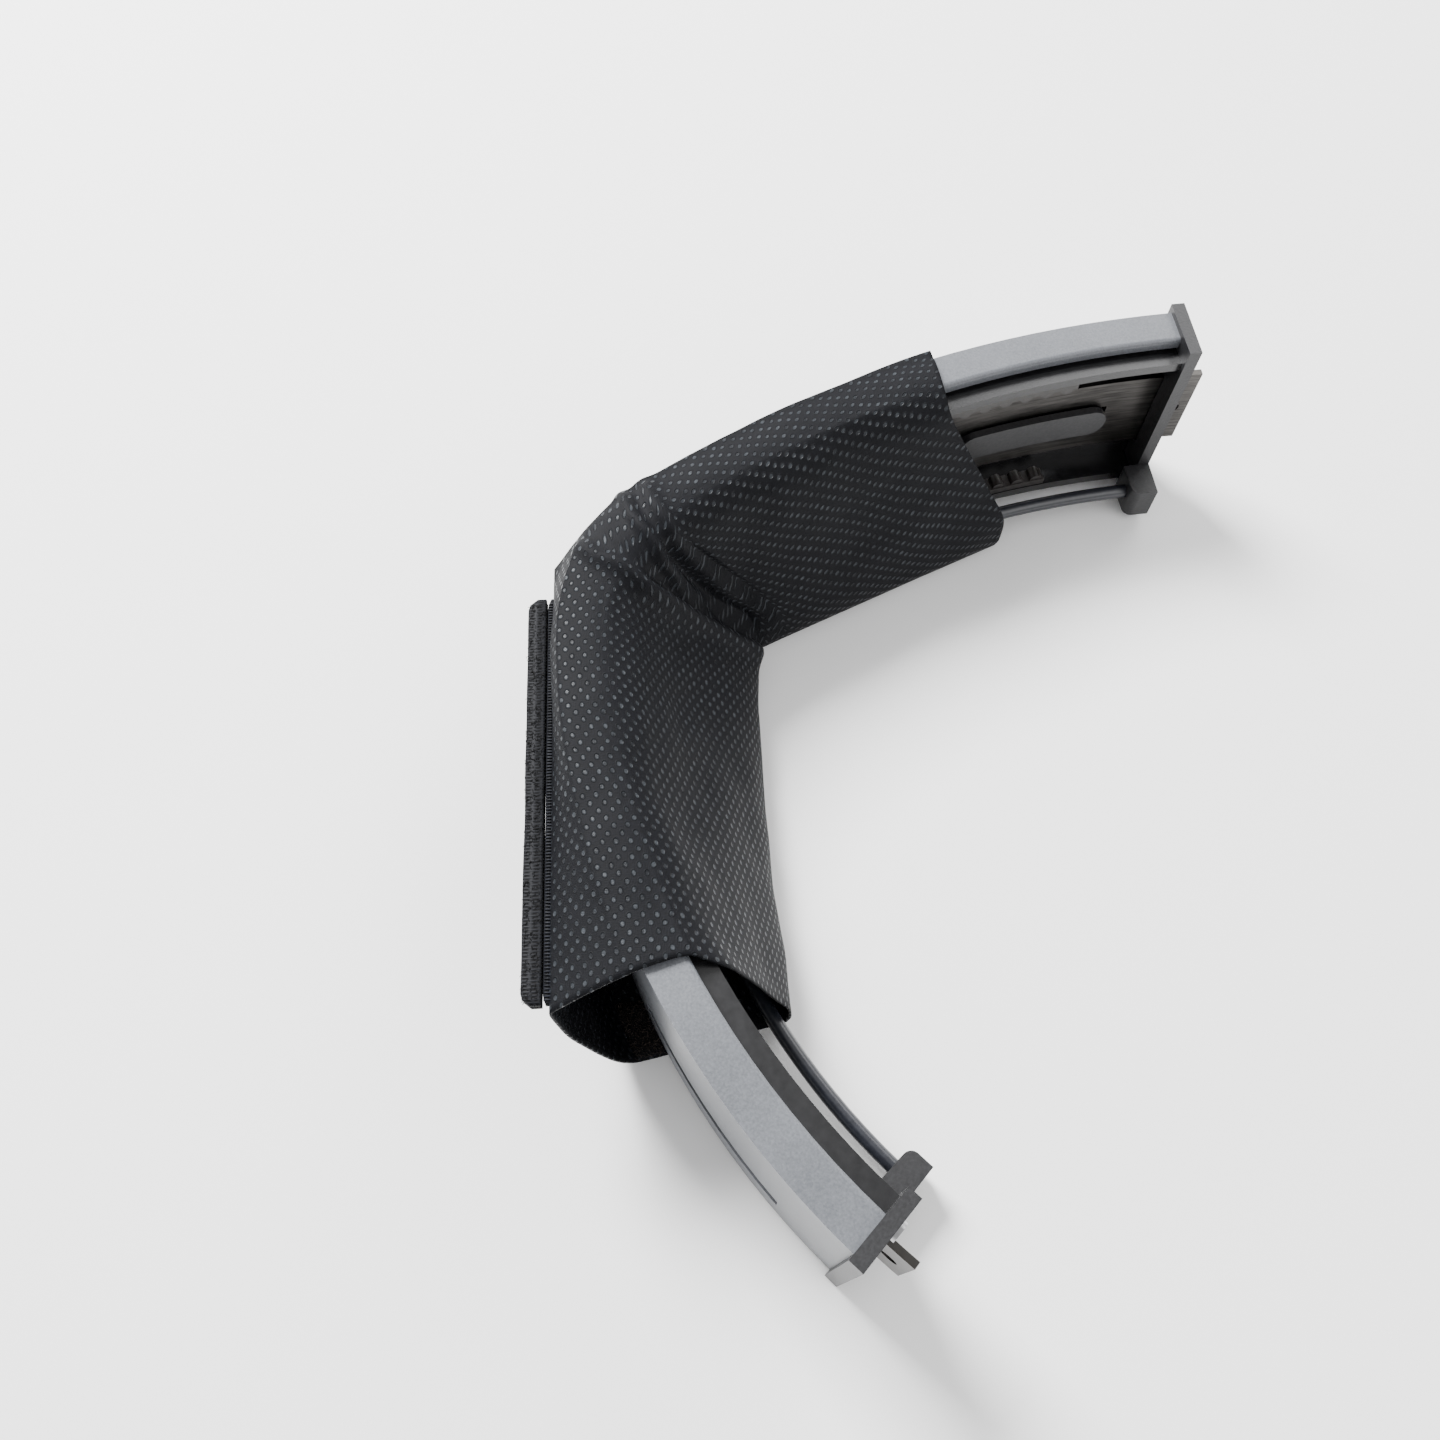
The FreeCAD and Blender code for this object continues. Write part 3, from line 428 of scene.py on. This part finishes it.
# %% [markdown]
# ### From grid to sheet
#
# The grid becomes a mesh with a UV map in metres, so that the embossing keeps its size. Each half of
# the cover has its own flat layout, along its own straight axis, because the cloth really lies in two
# flat panels that meet at the crease. Solidify gives the sheet its thickness, inwards.

# %% Cover mesh


def mesh_of(name, points, faces, uvs=None):
    """Object with a mesh in the row frame, from points in millimetres."""
    mesh = bpy.data.meshes.new(name)
    mesh.from_pydata((np.asarray(points) * MM).tolist(), [], faces)
    if uvs is not None:
        layer = mesh.uv_layers.new(name="flat")
        layer.data.foreach_set("uv", np.asarray(uvs, dtype=np.float32).ravel())
    for polygon in mesh.polygons:
        polygon.use_smooth = True
    piece = bpy.data.objects.new(name, mesh)
    bpy.context.scene.collection.objects.link(piece)
    return piece


def flat_layout(points, side):
    """Distance along one half's seam and distance round the section from it."""
    axis = unit(SEAM[side] - SEAM_START[side])
    lengthwise = (points - SEAM["fold"]) @ axis
    steps = np.linalg.norm(np.roll(points, -1, axis=1) - points, axis=2)
    round_it = np.cumsum(steps, axis=1) - steps
    return np.stack([lengthwise, round_it, steps], axis=2)


rows, columns = grid.shape[:2]
layouts = {side: flat_layout(grid, side) for side in (-1, 1)}
faces, uvs = [], []
for i in range(rows - 1):
    for j in range(columns):
        n = (j + 1) % columns
        side = -1 if below[i, j] < 0 else 1
        corners = ((i, j), (i, n), (i + 1, n), (i + 1, j))
        faces.append([a * columns + b for a, b in corners])
        for a, b in corners:
            u, v, step = layouts[side][a, b]
            if n == 0 and b == 0:
                v = layouts[side][a, j][1] + layouts[side][a, j][2]
            uvs.append((u * MM, v * MM))
cover = mesh_of("cover", grid.reshape(-1, 3), faces, uvs)
thick = cover.modifiers.new("thickness", "SOLIDIFY")
thick.thickness, thick.offset = SHEET * MM, -1.0

# %% [markdown]
# ### Spun-bonded cloth
#
# Non-woven cloth is a felt of fine threads, melted together in a lattice of small ovals. The ovals are
# smooth, so they catch the light. Their lighter base colour is a painted sheen standing in for that light,
# and a slow noise spreads it unevenly from oval to oval. The felt between them is dull and nearly black.
# The lattice is two grids of cells, one shifted by half a cell, so the material measures the distance to
# the nearest centre of either and turns it into an oval. Threads are two stretched noises at different angles.

# %% Cloth finish
CELL_ALONG, CELL_ROUND = 2.08 * MM, 1.72 * MM
OVAL_ALONG, OVAL_ROUND = 0.4 * MM, 0.32 * MM


def oval_distance(finish, uv, shift):
    """Distance to the nearest cell centre, where 1 is the oval's edge."""
    cells = finish.vector("DIVIDE", uv, (CELL_ALONG, CELL_ROUND, 1))
    part = finish.vector("FRACTION", finish.vector("ADD", cells, (shift, shift, 0)))
    from_centre = finish.vector("SUBTRACT", part, (0.5, 0.5, 0))
    ovals = (CELL_ALONG / OVAL_ALONG, CELL_ROUND / OVAL_ROUND, 0)
    sized = finish.vector("MULTIPLY", from_centre, ovals)
    return finish.node("ShaderNodeVectorMath", {"operation": "LENGTH"}, {0: sized}, "Value")


def spun_bonded():
    finish = Finish("nonwoven_black", Specular_IOR_Level=0.14, Sheen_Weight=0.0, Sheen_Roughness=0.4,
                    Sheen_Tint=(0.5, 0.6, 0.8, 1.0))
    uv = finish.node("ShaderNodeUVMap", {"uv_map": "flat"}, {})
    drift = finish.node("ShaderNodeTexNoise", {}, {"Vector": uv, "Scale": 420.0, "Detail": 2.0}, "Color")
    centred = finish.vector("SUBTRACT", drift, (0.5, 0.5, 0.5))
    small = finish.node("ShaderNodeVectorMath", {"operation": "SCALE"}, {0: centred, "Scale": 0.45 * MM})
    place = finish.vector("ADD", uv, small)
    nearest = oval_distance(finish, place, 0.0).maths("MINIMUM", oval_distance(finish, place, 0.5))
    oval = 1 - finish.between(nearest, 0.62, 1.12)
    rim = finish.between(nearest, 0.55, 0.9) * (1 - finish.between(nearest, 0.95, 1.35))
    ways = ((0.6, (1, 0.16, 1)), (-0.7, (0.16, 1, 1)))
    first, second = [finish.node("ShaderNodeMapping", {},
                                 {"Vector": uv, "Rotation": (0, 0, turn), "Scale": scale})
                     for turn, scale in ways]
    threads = (finish.clouds(first, 9000.0, 2.0) + finish.clouds(second, 9000.0, 2.0)) * 0.5
    patches = finish.clouds(uv, 95.0, 3.0)
    # Painted sheen: a slow noise picks which ovals catch more of the painted light.
    oval_sheen_spread = finish.between(finish.clouds(uv, 700.0, 1.0), 0.25, 0.7)
    felt = finish.ramp(threads, (0.34, (0.0008, 0.0009, 0.0014)), (0.68, (0.0045, 0.005, 0.0075)))
    # Painted sheen: the ovals' lighter, bluish base colour stands in for the light their gloss reflects.
    painted_oval_sheen = finish.ramp(patches * 0.4 + threads * 0.6, (0.3, (0.012, 0.014, 0.017)),
                         (0.7, (0.05, 0.056, 0.064)))
    finish.set("Base Color", finish.node("ShaderNodeMix", {"data_type": "RGBA"},
                                         {0: oval * (oval_sheen_spread * 0.8 + 0.12), 6: felt, 7: painted_oval_sheen}, 2))
    finish.set("Roughness", 0.62 - oval * 0.3 + threads * 0.12)
    finish.bump(threads * 0.35 - oval * 0.55 + rim * 0.3 + patches * 0.3, 0.00016)
    return finish.material


cover.data.materials.append(spun_bonded())
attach(cover, "headband")
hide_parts("cover_sheet")

# %% [markdown]
# ## Hook-and-loop flange
#
# The two layers of the cover are closed by a hook strip lying on a loop strip, along the outer seam of
# each half. Each strip is a woven tape covered in tiny hooks or loops, and a selvedge with a row of ladder
# stitches joins it to the cloth. The stitches and the fuzz are Geometry Nodes: one tree repeats a stitch
# along a line, and another scatters curled threads over a face.

# %% Geometry Nodes helpers


def new_tree(name, inputs):
    """Geometry node group with named number inputs and a geometry in and out."""
    tree = bpy.data.node_groups.new(name, "GeometryNodeTree")
    tree.interface.new_socket("Geometry", in_out="INPUT", socket_type="NodeSocketGeometry")
    for label, kind, value in inputs:
        socket = tree.interface.new_socket(label, in_out="INPUT", socket_type=kind)
        if value is not None:
            socket.default_value = value
    tree.interface.new_socket("Geometry", in_out="OUTPUT", socket_type="NodeSocketGeometry")
    return tree, tree.nodes.new("NodeGroupInput"), tree.nodes.new("NodeGroupOutput")


def add(tree, kind, settings=None, **sockets):
    """Node with its settings and its sockets: a value, or another node's output."""
    node = tree.nodes.new(kind)
    for name, value in (settings or {}).items():
        setattr(node, name, value)
    for name, value in sockets.items():
        socket = node.inputs[int(name[1:])] if name[1:].isdigit() else node.inputs[name.replace("_", " ")]
        if isinstance(value, bpy.types.NodeSocket):
            tree.links.new(value, socket)
        else:
            socket.default_value = value
    return node


def grown(base, tree, name, body, slot, **values):
    """Run a tree on a copy of a mesh and keep the result as a plain piece of its own."""
    worker = base.copy()
    bpy.context.scene.collection.objects.link(worker)
    modifier = worker.modifiers.new("grow", "NODES")
    modifier.node_group = tree
    sockets = {item.name: item.identifier for item in tree.interface.items_tree if item.in_out == "INPUT"}
    for label, value in values.items():
        modifier[sockets[label.replace("_", " ")]] = value
    bpy.context.view_layer.update()
    mesh = bpy.data.meshes.new_from_object(worker.evaluated_get(bpy.context.evaluated_depsgraph_get()))
    bpy.data.objects.remove(worker)
    piece = bpy.data.objects.new(name, mesh)
    bpy.context.scene.collection.objects.link(piece)
    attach(piece, body)
    return piece


def fuzz_tree():
    """Curled threads scattered on a mesh, each an open arc with a three-sided section."""
    inputs = (("Density", "NodeSocketFloat", 4e6), ("Size", "NodeSocketFloat", 0.0004),
              ("Thread", "NodeSocketFloat", 0.00005), ("Seed", "NodeSocketInt", 1),
              ("Finish", "NodeSocketMaterial", None))
    tree, inside, outside = new_tree("fuzz", inputs)
    given = inside.outputs
    spots = add(tree, "GeometryNodeDistributePointsOnFaces", {"distribute_method": "RANDOM"},
                Mesh=given["Geometry"], Density=given["Density"], Seed=given["Seed"])
    arc = add(tree, "GeometryNodeCurveArc", None, Resolution=6, Sweep_Angle=math.radians(230),
              Radius=given["Size"])
    ring = add(tree, "GeometryNodeCurvePrimitiveCircle", None, Resolution=3, Radius=given["Thread"])
    thread = add(tree, "GeometryNodeCurveToMesh", None, Curve=arc.outputs[0], Profile_Curve=ring.outputs[0])
    turn = add(tree, "FunctionNodeRandomValue", {"data_type": "FLOAT_VECTOR"}, _0=(0.9, -0.6, -3.14),
               _1=(2.2, 0.6, 3.14), Seed=given["Seed"])
    size = add(tree, "FunctionNodeRandomValue", {"data_type": "FLOAT"}, _2=0.55, _3=1.15, Seed=given["Seed"])
    placed = add(tree, "GeometryNodeInstanceOnPoints", None, Points=spots.outputs["Points"],
                 Instance=thread.outputs[0], Rotation=turn.outputs[0], Scale=size.outputs[1])
    real = add(tree, "GeometryNodeRealizeInstances", None, Geometry=placed.outputs[0])
    dressed = add(tree, "GeometryNodeSetMaterial", None, Geometry=real.outputs[0], Material=given["Finish"])
    tree.links.new(dressed.outputs[0], outside.inputs[0])
    return tree


def stitch_tree():
    """A bent thread at even steps along every edge line of a mesh, turned across the line."""
    inputs = (("Step", "NodeSocketFloat", 0.00045), ("Reach", "NodeSocketFloat", 0.0005),
              ("Thread", "NodeSocketFloat", 0.0001), ("Finish", "NodeSocketMaterial", None))
    tree, inside, outside = new_tree("stitches", inputs)
    given = inside.outputs
    line = add(tree, "GeometryNodeMeshToCurve", None, Mesh=given["Geometry"])
    spots = add(tree, "GeometryNodeCurveToPoints", {"mode": "LENGTH"}, Curve=line.outputs[0],
                Length=given["Step"])
    arc = add(tree, "GeometryNodeCurveArc", None, Resolution=6, Sweep_Angle=math.pi, Radius=given["Reach"])
    flat = add(tree, "GeometryNodeTransform", None, Geometry=arc.outputs[0], Scale=(1.0, 0.35, 1.0),
               Rotation=(math.pi / 2, 0, math.pi / 2))
    ring = add(tree, "GeometryNodeCurvePrimitiveCircle", None, Resolution=5, Radius=given["Thread"])
    thread = add(tree, "GeometryNodeCurveToMesh", None, Curve=flat.outputs[0], Profile_Curve=ring.outputs[0],
                 Fill_Caps=True)
    turn = add(tree, "FunctionNodeAlignRotationToVector", {"axis": "X", "pivot_axis": "Z"},
               Vector=spots.outputs["Tangent"])
    placed = add(tree, "GeometryNodeInstanceOnPoints", None, Points=spots.outputs["Points"],
                 Instance=thread.outputs[0], Rotation=turn.outputs[0])
    real = add(tree, "GeometryNodeRealizeInstances", None, Geometry=placed.outputs[0])
    dressed = add(tree, "GeometryNodeSetMaterial", None, Geometry=real.outputs[0], Material=given["Finish"])
    tree.links.new(dressed.outputs[0], outside.inputs[0])
    return tree


FUZZ, STITCHES = fuzz_tree(), stitch_tree()
print("trees:", [tree.name for tree in (FUZZ, STITCHES)])

# %% Thread and tape finishes


def thread_finish(name, dark, light, roughness):
    """Nylon thread: slow changes of colour along the tape, and a soft gloss."""
    finish = Finish(name, Specular_IOR_Level=0.2)
    where = finish.place()
    tone = finish.clouds(where, 1400.0, 3.0)
    finish.set("Base Color", finish.ramp(tone, (0.3, dark), (0.72, light)))
    finish.set("Roughness", tone * 0.2 + (roughness - 0.1))
    finish.bump(finish.clouds(where, 9000.0, 2.0), 0.00003)
    return finish.material


def tape_finish(name, dark, light):
    """Woven tape: ribs across its length and finer picks along it, on the tape's own UV map."""
    finish = Finish(name, Specular_IOR_Level=0.15)
    uv = finish.node("ShaderNodeUVMap", {"uv_map": "flat"}, {})
    ribs = finish.node("ShaderNodeTexWave", {"bands_direction": "X"},
                       {"Vector": uv, "Scale": 700.0, "Distortion": 1.5})
    picks = finish.node("ShaderNodeTexWave", {"bands_direction": "Y"},
                        {"Vector": uv, "Scale": 1100.0, "Distortion": 1.0})
    weave = ribs.maths("MAXIMUM", picks * 0.8)
    finish.set("Base Color", finish.ramp(weave, (0.2, dark), (0.9, light)))
    finish.set("Roughness", 0.75 - weave * 0.2)
    finish.bump(weave, 0.00006)
    return finish.material


TAPE = {"hook": tape_finish("hook_tape", (0.0015, 0.0015, 0.002), (0.008, 0.0085, 0.011)),
        "loop": tape_finish("loop_tape", (0.0015, 0.0015, 0.0018), (0.007, 0.007, 0.008))}
FUZZ_FINISH = thread_finish("fuzz_thread", (0.0015, 0.0015, 0.0018), (0.011, 0.0105, 0.0105), 0.7)
GRIP_FINISH = thread_finish("grip_thread", (0.006, 0.005, 0.005), (0.09, 0.07, 0.06), 0.55)
STITCH_FINISH = thread_finish("stitch_thread", (0.002, 0.0025, 0.004), (0.014, 0.016, 0.024), 0.55)

# %% [markdown]
# ### Strips
#
# Each strip stands out from the raised seam and runs from near the fold to the mouth. Next to the cloth a
# narrow selvedge, sewn down with ladder stitches, stays on the band; the hook strip beyond it is what
# peels open, and the loop strip waits below. Each is one profile swept along the seam.

# %% Build the strips
STRIP_START, STRIP_END = 5.0, 1.0
FIELD = ((0.0, 0.12), (0.06, 0.5), (0.25, 0.62), (2.3, 0.62), (2.5, 0.5), (2.55, 0.1), (2.4, 0.0), (0.1, 0.0))
SELVEDGE = ((-0.5, 0.1), (-0.45, 0.42), (-0.2, 0.6), (0.55, 0.6), (0.75, 0.45), (0.82, 0.12), (0.7, 0.0),
            (-0.4, 0.0))
STRIP_GAP, FUZZ_INNER, FUZZ_OUTER, FUZZ_HEIGHT = 0.95, 0.15, 2.45, 0.55
STITCH_ACROSS, STITCH_HEIGHT = 0.15, 0.58


def strip_frame(side, gap, drop):
    """Start, lengthwise, outward and upward directions, and length of a strip, in millimetres."""
    along = unit(SEAM[side] - SEAM_START[side])
    out = unit(np.array([along[1], -along[0], 0.0]) * -side)
    up = np.cross(along, out)
    up *= np.sign(up[2])
    first = STRIP_START if side < 0 else STRIP_END
    start = SEAM_START[side] + along * first + out * gap - (0, 0, drop)
    length = float(np.linalg.norm(SEAM[side] - SEAM_START[side])) - first - STRIP_END
    return start, along, out, up, length


def build_strip(name, side, gap, drop, profile):
    start, along, out, up, length = strip_frame(side, gap, drop)
    steps, n = int(length / 0.8), len(profile)
    points, faces, uvs = [], [], []
    for i in range(steps + 1):
        run = length * i / steps
        sway = noise.noise(Vector((run / 9.0, side * 3.1, drop))) * 0.12
        reach = 0.45 + 0.55 * min(1.0, math.sqrt(min(run, length - run) / 1.2 + 0.02))
        for across, height in profile:
            wide = across * reach + sway * max(across, 0.0) / 2.5
            points.append(start + along * run + out * wide + up * height)
    for i in range(steps):
        for j in range(n):
            k = (j + 1) % n
            corners = ((i, j), (i, k), (i + 1, k), (i + 1, j))
            faces.append([a * n + b for a, b in corners])
            uvs += [(length * a / steps * MM, (b if b or j < n - 1 else n) * 0.5 * MM) for a, b in corners]
    for end in (0, steps):
        faces.append([end * n + j for j in range(n)])
        uvs += [(0.0, j * 0.5 * MM) for j in range(n)]
    piece = mesh_of(name, points, faces, uvs)
    edit = bmesh.new()
    edit.from_mesh(piece.data)
    bmesh.ops.recalc_face_normals(edit, faces=edit.faces)
    edit.to_mesh(piece.data)
    edit.free()
    return piece


def field_of(side, gap, drop, inner, outer, height):
    """Flat helper face that a fuzz grows from, over one part of a strip, facing up."""
    start, along, out, up, length = strip_frame(side, gap, drop)
    corners = [start + along * run + out * across + up * height
               for run, across in ((0.8, inner), (length - 0.5, inner), (length - 0.5, outer), (0.8, outer))]
    facing = np.cross(corners[1] - corners[0], corners[2] - corners[1]) @ up
    return mesh_of("field", corners, [[0, 1, 2, 3] if facing > 0 else [3, 2, 1, 0]])


def line_of(side, gap, drop, across, height):
    start, along, out, up, length = strip_frame(side, gap, drop)
    ends = [start + along * run + out * across + up * height for run in (0.9, length - 0.6)]
    mesh = bpy.data.meshes.new("line")
    mesh.from_pydata([tuple(p * MM) for p in ends], [(0, 1)], [])
    line = bpy.data.objects.new("line", mesh)
    bpy.context.scene.collection.objects.link(line)
    return line


def dress(piece, body, finish):
    piece.data.materials.append(finish)
    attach(piece, body)


ARMS = {"upper": 1, "lower": -1}
DROP = {"hook": 0.7, "loop": 1.75}
for arm, side in ARMS.items():
    for kind, drop in DROP.items():
        body = f"{arm}_flap" if kind == "hook" else "headband"
        strip = build_strip(f"{arm}_{kind}_strip", side, STRIP_GAP, drop, FIELD)
        dress(strip, body, TAPE[kind])
        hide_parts(f"{arm}_{kind}_tape")
        field = field_of(side, STRIP_GAP, drop, FUZZ_INNER, FUZZ_OUTER, FUZZ_HEIGHT)
        fuzz = grown(field, FUZZ, f"{arm}_{kind}_fuzz", body, f"{kind}_tape", Density=5.5e6, Size=0.00024,
                     Thread=0.00004, Seed=7 + side, Finish=FUZZ_FINISH)
        bpy.data.objects.remove(field)
        print(strip.name, "fuzz", len(fuzz.data.polygons), "faces")
    selvedge = build_strip(f"{arm}_selvedge", side, 0.0, DROP["hook"], SELVEDGE)
    dress(selvedge, "headband", TAPE["hook"])
    line = line_of(side, 0.0, DROP["hook"], STITCH_ACROSS, STITCH_HEIGHT)
    stitches = grown(line, STITCHES, f"{arm}_stitches", "headband", "hook_tape", Step=0.00043, Reach=0.0005,
                     Thread=0.00009, Finish=STITCH_FINISH)
    bpy.data.objects.remove(line)
    print(selvedge.name, "stitches", len(stitches.data.polygons), "faces")

# %% [markdown]
# ## Grip patch
#
# A patch of brownish loops inside the lower mouth keeps the cover from creeping along the band. It is a
# thin backing with the same fuzz tree, longer threads and its own colour.

# %% Grip patch
PATCH_INSETS, PATCH_DEPTHS = np.linspace(-4.0, 3.0, 15), np.linspace(0.5, 8.5, 10)
PATCH_HEIGHT = 0.42
heel_arc, heel_inset = HEEL[-1]
slant = (heel_arc - HEM_MOUTH[0]) / (HEM_MOUTH[1] - heel_inset)
patch_grid = np.array([[band_point(heel_arc - (inset - heel_inset) * slant + depth, inset, PATCH_HEIGHT)
                        for inset in PATCH_INSETS] for depth in PATCH_DEPTHS])
across = len(PATCH_INSETS)
patch_faces = [[i * across + j, i * across + j + 1, (i + 1) * across + j + 1, (i + 1) * across + j]
               for i in range(len(PATCH_DEPTHS) - 1) for j in range(across - 1)]
first = [Vector(patch_grid.reshape(-1, 3)[p]) for p in patch_faces[0][:3]]
if (first[1] - first[0]).cross(first[2] - first[1]).z < 0:
    patch_faces = [face[::-1] for face in patch_faces]
patch_uvs = [(p % across * 0.5 * MM, p // across * 0.9 * MM) for face in patch_faces for p in face]
patch = mesh_of("grip_patch", patch_grid.reshape(-1, 3), patch_faces, patch_uvs)
backing = patch.modifiers.new("thickness", "SOLIDIFY")
backing.thickness, backing.offset = 0.15 * MM, 1.0
dress(patch, "headband", TAPE["loop"])
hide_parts("mouth_grip_patch")
loops = grown(patch, FUZZ, "grip_loops", "headband", "loop_tape", Density=4.5e6, Size=0.0003,
              Thread=0.00005, Seed=3, Finish=GRIP_FINISH)
print("grip patch loops:", len(loops.data.polygons), "faces")

# %% [markdown]
# ## Floor and light
#
# The object lies on a plain pale table under soft studio light. The main light is large and comes from
# the upper left, so the crown-side flanks are lit and the inner ones are dark. A weaker one fills from
# the right, and the world gives the rest.

# %% Floor
floor_finish = Finish("floor", Specular_IOR_Level=0.1)
slow_tone = floor_finish.clouds(floor_finish.place(), 3.0)
floor_tones = ((0.3, (0.94, 0.94, 0.94)), (0.7, (0.96, 0.96, 0.96)))
floor_finish.set("Base Color", floor_finish.ramp(slow_tone, *floor_tones))
floor_finish.shader.inputs["Roughness"].default_value = 0.9
HALF, FLOOR = 3000, -0.05
floor_corners = [(-HALF, -HALF, FLOOR), (HALF, -HALF, FLOOR), (HALF, HALF, FLOOR), (-HALF, HALF, FLOOR)]
floor = mesh_of("floor", floor_corners, [[0, 1, 2, 3]])
floor.data.materials.append(floor_finish.material)

# %% Lights


def softbox(name, place, size, watts):
    """Square area light that faces the middle of the object."""
    data = bpy.data.lights.new(name, "AREA")
    data.energy, data.size = watts, size
    light = bpy.data.objects.new(name, data)
    bpy.context.scene.collection.objects.link(light)
    light.location = place
    light.rotation_euler = (Vector(place) - Vector((0, 0, 0.015))).to_track_quat("Z", "Y").to_euler()


softbox("key", (-0.5, 0.22, 0.6), 0.3, 22.0)
softbox("fill", (0.5, -0.1, 0.5), 0.5, 1.6)
softbox("back", (0.1, 0.6, 0.4), 0.4, 2.5)
world = bpy.data.worlds.new("world")
world.use_nodes = True
world.node_tree.nodes["Background"].inputs["Color"].default_value = (1.0, 1.0, 1.0, 1.0)
world.node_tree.nodes["Background"].inputs["Strength"].default_value = 0.9
bpy.context.scene.world = world

# %% The end
import json
